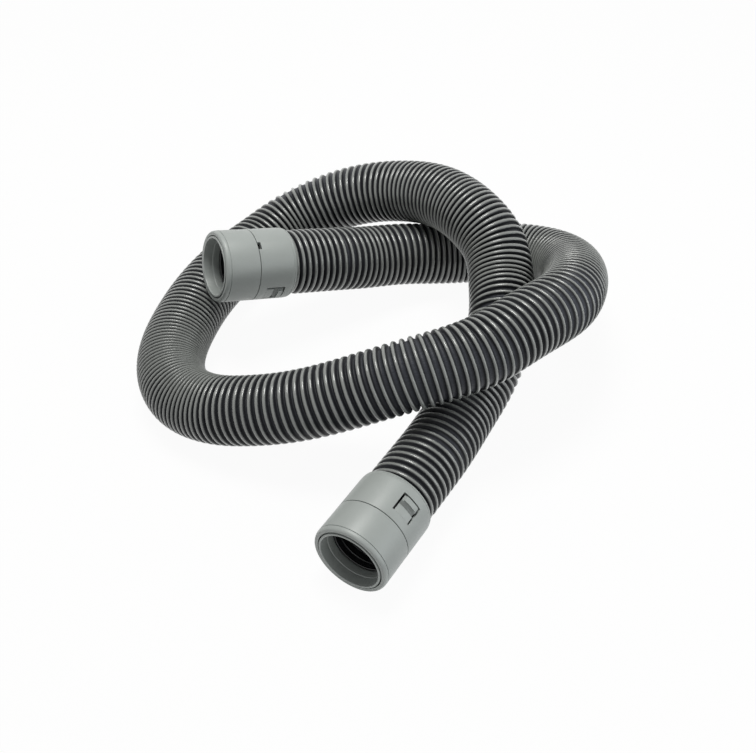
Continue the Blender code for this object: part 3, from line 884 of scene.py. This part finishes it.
class FilmSection:
    """How far the film stands out over a turn of the helix, and how it looks there."""

    def __init__(self, hose):
        self.hose = hose
        self.crest = hose.outer / 2
        self.valley = self.crest - hose.rib_depth

    def tautness(self, open_pitch):
        """0 where the film is slack, and more where the hose is stretched."""
        return np.clip(open_pitch / self.hose.slack - 1, 0, 1)

    def rib_foot(self, open_pitch):
        """Half a rib's width: all of the turn where it is slack, narrow where it is taut."""
        taut = np.clip(FOOT_NARROWING * self.tautness(open_pitch), 0, 1)
        foot = open_pitch / 2 * (1 - taut) + self.hose.rib_foot * taut
        return np.minimum(foot, open_pitch / 2)

    def half_turn(self, open_pitch):
        """Half the pitch, for a lining without ribs."""
        return open_pitch / 2

    def skin(self, share, open_pitch, from_end, inside):
        """Radius of the ribbed skin: round ribs, as deep as the folded film allows."""
        hose = self.hose
        away = np.minimum(share, 1 - share) * open_pitch
        foot = self.rib_foot(open_pitch)
        bulge = np.sqrt(1 - np.clip(away / foot, 0, 1) ** 2)
        folded = np.clip(hose.film**2 - open_pitch**2, (2 * hose.rib_foot) ** 2, None)
        depth = np.minimum(hose.rib_depth, np.sqrt(folded) / 2)
        crowded = np.clip(open_pitch / (2 * hose.rib_foot), 0, 1) ** CROWDING
        top = self.crest - hose.squeeze * np.clip(2 - from_end / hose.insert, 0, 1)
        radius = top - depth * crowded * (1 - bulge)
        radius = np.where(inside, radius, self.valley)
        # The pale line marks a painted highlight along each crest
        painted_highlight = np.sqrt(1 - np.clip(away / np.minimum(hose.crest_width, foot), 0, 1) ** 2)
        # The film is 0 at each rib's foot, where painted shade darkens it, and 1 mid-way
        film = np.clip((away - foot) / np.maximum(open_pitch / 2 - foot, LEAST_FILM), 0, 1)
        ridge = 1 - (1 - painted_highlight) * crowded
        stretched = film * self.tautness(open_pitch)
        loose = np.clip(open_pitch / hose.slack, 0, 1) ** 2
        return radius, {"ridge": ridge, "stretched": stretched, "open": loose}

    def lining(self, share, open_pitch, from_end, inside):
        """Radius of the lining, which stands in a little at each turn of the wire."""
        wave = np.cos(2 * pi * share)
        radius = self.valley - self.hose.wall - LINING_WAVE * wave
        radius = np.where(inside, radius, self.valley - self.hose.wall)
        # The lining has no taut film, so it takes the painted fold shade
        return radius, {"ridge": (1 - wave) / 4, "stretched": 0 * share, "open": 0 * share}


def helix_mesh(name, swept, faces_inwards):
    """A mesh of what was swept along the helix, with the values that its finish needs."""
    points, quads, values, places = swept
    mesh = bpy.data.meshes.new(name)
    mesh.from_pydata(points, [], quads)
    for value_name, value in values.items():
        attribute = mesh.attributes.new(value_name, "FLOAT", "POINT")
        attribute.data.foreach_set("value", np.ravel(value).astype(np.float32))
    attribute = mesh.attributes.new("film_place", "FLOAT_VECTOR", "CORNER")
    attribute.data.foreach_set("vector", np.ravel(places).astype(np.float32))
    bm = bmesh.new()
    bm.from_mesh(mesh)
    bmesh.ops.remove_doubles(bm, verts=bm.verts, dist=WELD_DISTANCE)
    bmesh.ops.recalc_face_normals(bm, faces=bm.faces)
    if faces_inwards:
        bmesh.ops.reverse_faces(bm, faces=bm.faces)
    bm.to_mesh(mesh)
    bm.free()
    return mesh


def add_hose(hose, plan):
    """The ribbed tube: a skin whose crests follow the helix, and the lining of its bore."""
    path = hose_path(hose, plan)
    field = HelixField(path, pi * hose.outer)
    film = FilmSection(hose)
    material = film_material(hose)
    for name, foot_of, radius_of, faces_inwards in (
        ("hose_skin", film.rib_foot, film.skin, False),
        ("hose_lining", film.half_turn, film.lining, True),
    ):
        swept = field.sweep(foot_of, hose.sides, radius_of)
        mesh = helix_mesh(name, swept, faces_inwards)
        piece = add_piece(name, mesh, material, "hose")
        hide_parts("hose_tube")
    exit_point = cuff_frame("rear") @ Vector((plan.sleeve_rear, 0, 0))


def add_moulding(name, mesh, side, material, body, sharp_angle=None):
    """Put a piece, made in its cuff's own frame, in place of the CAD node of that name."""
    mesh.transform(cuff_frame(side))
    piece = add_piece(name + "_moulding", mesh, material, body, sharp_angle)
    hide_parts(name)


def add_turned(piece, outline, material, on_hose=False):
    """One turned piece in each cuff."""
    for side in SIDES:
        name = side + "_" + piece
        body = "hose" if on_hose else side + "_cuff"
        mesh = turned(name + "_moulding", outline)
        add_moulding(name, mesh, side, material, body)


def shell_cutters(plan):
    """Windows for the latches, and a notch at the seam that goes through both shells."""
    latch = plan.latch
    slit_angle = latch.slit / plan.cuff.outer
    beyond = plan.cuff.outer + plan.cuff.wall
    window = box_outline(plan.window_front, plan.window_rear, plan.bore - plan.cuff.wall, beyond)
    notch_rear = plan.sleeve_front + latch.notch
    notch = box_outline(plan.sleeve_front - FIT / 2, notch_rear, plan.skirt_bore - FIT, beyond)
    half_angle = latch.half_angle + slit_angle
    cutters = [turned("window", window, half_angle, turn) for turn in (0, pi)]
    return cutters + [turned("notch", notch, latch.notch_half_angle, latch.notch_place)]


def add_shells(piece, outline, plan, material):
    """One of the two shells on each cuff, cut by the windows and the notch."""
    for side in SIDES:
        name = side + "_" + piece
        blank = turned(name + "_blank", outline)
        mesh = combined(name + "_moulding", blank, shell_cutters(plan), "DIFFERENCE")
        add_moulding(name, mesh, side, material, side + "_cuff", sharp_angle=SHARP_ANGLE)


def latch_outlines(plan):
    """A latch's tab with a shallow dish, and the block whose hollow ramp rises from it."""
    cuff, latch = plan.cuff, plan.latch
    dish_start = plan.window_front + latch.ramp_start
    dish_end = dish_start + latch.ramp
    dish_middle = (dish_start + dish_end) / 2
    bottom = cuff.outer - latch.dish
    inside = plan.bore - latch.boss
    root = (bottom + inside) / 2
    top = cuff.outer + latch.block_height
    block_rear = plan.tip - latch.tip_step
    dish = []
    for share in np.linspace(0, 1, DISH_STEPS + 1):
        dish.append((dish_start + share * latch.ramp, cuff.outer - latch.dish * sin(pi * share)))
    tab = [(plan.window_front + HINGE_GAP, cuff.outer)] + dish
    tab += [(plan.tip, cuff.outer), (plan.tip, inside), (dish_start, inside)]
    tab += [(plan.window_front + FIT, plan.bore)]
    ramp = quarter((dish_middle, bottom), (dish_end, bottom), (dish_end, top))
    block = [(dish_middle, root)] + ramp + [(block_rear, top), (block_rear, root)]
    return tab, block


def paint_dish_shade(mesh, plan):
    """Mark how deep in the dish each point of a latch lies, for the painted shade there."""
    latch = plan.latch
    start = plan.window_front + latch.ramp_start
    soil = mesh.attributes.new("soil", "FLOAT", "POINT")
    for vertex, mark in zip(mesh.vertices, soil.data):
        x, y, z = vertex.co
        depth = (plan.cuff.outer - hypot(y, z)) / latch.dish
        in_dish = start < x < start + latch.ramp and depth < DISH_REACH
        mark.value = max(0.0, depth) if in_dish else 0.0


def add_latches(plan, material):
    """The spring tabs in the windows, each with a ramped block near its tip."""
    tab, block = latch_outlines(plan)
    latch = plan.latch
    for side in SIDES:
        for letter, turn in (("a", 0), ("b", pi)):
            name = side + "_latch_" + letter
            tab_mesh = turned(name + "_tab", tab, latch.half_angle, turn)
            block_mesh = turned(name + "_block", block, latch.block_half_angle, turn)
            mesh = combined(name + "_moulding", tab_mesh, [block_mesh], "UNION")
            paint_dish_shade(mesh, plan)
            body = side + "_tab_" + letter
            add_moulding(name, mesh, side, material, body, sharp_angle=SHARP_ANGLE)


# -- stage


def area_light(name, place, size, colour, power):
    """A soft light that points at the middle of the hose."""
    lamp = bpy.data.lights.new(name, "AREA")
    lamp.shape = "RECTANGLE"
    lamp.size, lamp.size_y = size
    lamp.energy = power
    lamp.color = colour
    lamp_object = add_object(name, lamp)
    lamp_object.location = place
    direction = Vector(LIT_POINT) - Vector(place)
    lamp_object.rotation_euler = direction.to_track_quat("-Z", "Y").to_euler()


def add_floor(stage):
    """A pale floor that stays white to the camera and keeps a soft shadow."""
    bm = bmesh.new()
    bmesh.ops.create_circle(bm, cap_ends=True, segments=FLOOR_SIDES, radius=FLOOR_RADIUS)
    floor = add_object("floor", mesh_from(bm, "floor"))
    shader = Finish("floor_white", 0.9)
    shader.paint(FLOOR_COLOUR)
    white = shader.node("Emission", inputs={"Color": WHITE, "Strength": 1.0})
    inputs = {
        0: shader.backdrop() * stage.floor_white,
        1: Value(shader, shader.surface.outputs[0]),
        2: white,
    }
    mixed = shader.node("MixShader", inputs=inputs)
    shader.feed(shader.nodes["Material Output"].inputs["Surface"], mixed)
    floor.data.materials.append(shader.material)


def add_world(stage):
    """White surround for the camera and in reflections, softer light on the object."""
    world = bpy.data.worlds.new("studio")
    bpy.context.scene.world = world
    shader = Shader(world)
    background = shader.nodes["Background"]
    background.inputs["Color"].default_value = WHITE
    strength = stage.world + (1 - stage.world) * shader.backdrop()
    shader.feed(background.inputs["Strength"], strength)


def add_camera():
    """The photograph's view: a long lens that looks down at the hose from the front."""
    camera_data = bpy.data.cameras.new("camera")
    camera_data.sensor_fit = "HORIZONTAL"
    camera_data.sensor_width = SENSOR_WIDTH
    camera_data.lens = FOCAL_PIXELS / IMAGE_WIDTH * SENSOR_WIDTH
    camera_data.clip_start = CLIP_START
    camera = add_object("camera", camera_data)
    camera.location = CAMERA_PLACE
    camera.rotation_euler = (pi / 2 - CAMERA_PITCH, 0, 0)
    bpy.context.scene.camera = camera


# -- operators


class HoseOperator:
    """What every operator here shares."""

    bl_options = {"REGISTER", "UNDO"}

    @property
    def plan(self):
        """The cuff's radii and places, from the present settings."""
        scene = bpy.context.scene
        return CuffPlan(scene.cuff_settings, scene.latch_settings, scene.hose_settings)


class HOSE_OT_ribbed_tube(HoseOperator, bpy.types.Operator):
    """Build the ribbed tube and the lining of its bore"""

    bl_idname = "hose.ribbed_tube"
    bl_label = "Ribbed Tube"

    def execute(self, context):
        add_hose(context.scene.hose_settings, self.plan)
        return {"FINISHED"}


class HOSE_OT_shells(HoseOperator, bpy.types.Operator):
    """Build the two moulded shells of each cuff"""

    bl_idname = "hose.shells"
    bl_label = "Cuff Shells"

    def execute(self, context):
        plan = self.plan
        material = moulded_material("cuff_shell", plan.cuff.colour)
        add_shells("collar", collar_outline(plan), plan, material)
        add_shells("sleeve", sleeve_outline(plan), plan, material)
        return {"FINISHED"}


class HOSE_OT_latches(HoseOperator, bpy.types.Operator):
    """Build the four spring latches"""

    bl_idname = "hose.latches"
    bl_label = "Latches"

    def execute(self, context):
        plan = self.plan
        add_latches(plan, moulded_material("latch_tab", plan.cuff.colour, 0.38))
        return {"FINISHED"}


class HOSE_OT_liners(HoseOperator, bpy.types.Operator):
    """Build the tapered liner in each mouth"""

    bl_idname = "hose.liners"
    bl_label = "Mouth Liners"

    def execute(self, context):
        plan = self.plan
        material = moulded_material("mouth_liner", plan.cuff.colour, 0.36, 0.6)
        add_turned("liner", liner_outline(plan), material)
        return {"FINISHED"}


class HOSE_OT_inner_rings(HoseOperator, bpy.types.Operator):
    """Build the rings fixed in the hose and finish the seals and retaining rings"""

    bl_idname = "hose.inner_rings"
    bl_label = "Inner Rings"

    def execute(self, context):
        plan = self.plan
        ring = moulded_material("hose_ring", plan.cuff.ring_colour, 0.3, 0.6)
        add_turned("hose_ring", hose_ring_outline(plan), ring, on_hose=True)
        rubber = rubber_material()
        acetal = moulded_material("retaining_ring", ACETAL, 0.4, 0.4)
        for side in SIDES:
            for piece, material in (("seal_ring", rubber), ("retaining_ring", acetal)):
                node = frame["nodes"][side + "_" + piece]
                node.data.materials.clear()
                node.data.materials.append(material)
        return {"FINISHED"}


class HOSE_OT_stage(HoseOperator, bpy.types.Operator):
    """Build the floor, the lights, the surround and the camera"""

    bl_idname = "hose.stage"
    bl_label = "Stage"

    def execute(self, context):
        stage = context.scene.stage_settings
        add_floor(stage)
        add_world(stage)
        for name, (place, size, colour) in LIGHTS.items():
            area_light(name, place, size, colour, getattr(stage, name))
        add_camera()
        context.scene.view_settings.view_transform = "Standard"
        return {"FINISHED"}


class HOSE_PT_panel(bpy.types.Panel):
    """Lists the operators and settings in the sidebar"""

    bl_idname = "HOSE_PT_panel"
    bl_label = "Suction Hose"
    bl_space_type = "VIEW_3D"
    bl_region_type = "UI"
    bl_category = "Hose"

    def draw(self, context):
        for operator in OPERATORS:
            self.layout.operator(operator.bl_idname)
        for name, group in SETTINGS.items():
            box = self.layout.box()
            for setting in group.__annotations__:
                box.prop(getattr(context.scene, name), setting)


OPERATORS = (
    HOSE_OT_stage,
    HOSE_OT_ribbed_tube,
    HOSE_OT_shells,
    HOSE_OT_latches,
    HOSE_OT_liners,
    HOSE_OT_inner_rings,
)
SETTINGS = {
    "hose_settings": HoseSettings,
    "cuff_settings": CuffSettings,
    "latch_settings": LatchSettings,
    "stage_settings": StageSettings,
}
CLASSES = (*SETTINGS.values(), *OPERATORS, HOSE_PT_panel)


def register():
    """Register the settings, the operators and the panel."""
    for kind in CLASSES:
        bpy.utils.register_class(kind)
    for name, group in SETTINGS.items():
        setattr(bpy.types.Scene, name, PointerProperty(type=group))


def unregister():
    """Take away what register added."""
    for name in SETTINGS:
        delattr(bpy.types.Scene, name)
    for kind in reversed(CLASSES):
        bpy.utils.unregister_class(kind)


def main():
    register()
    bpy.ops.hose.stage()
    bpy.ops.hose.ribbed_tube()
    bpy.ops.hose.shells()
    bpy.ops.hose.latches()
    bpy.ops.hose.liners()
    bpy.ops.hose.inner_rings()


if __name__ == "__main__":
    main()
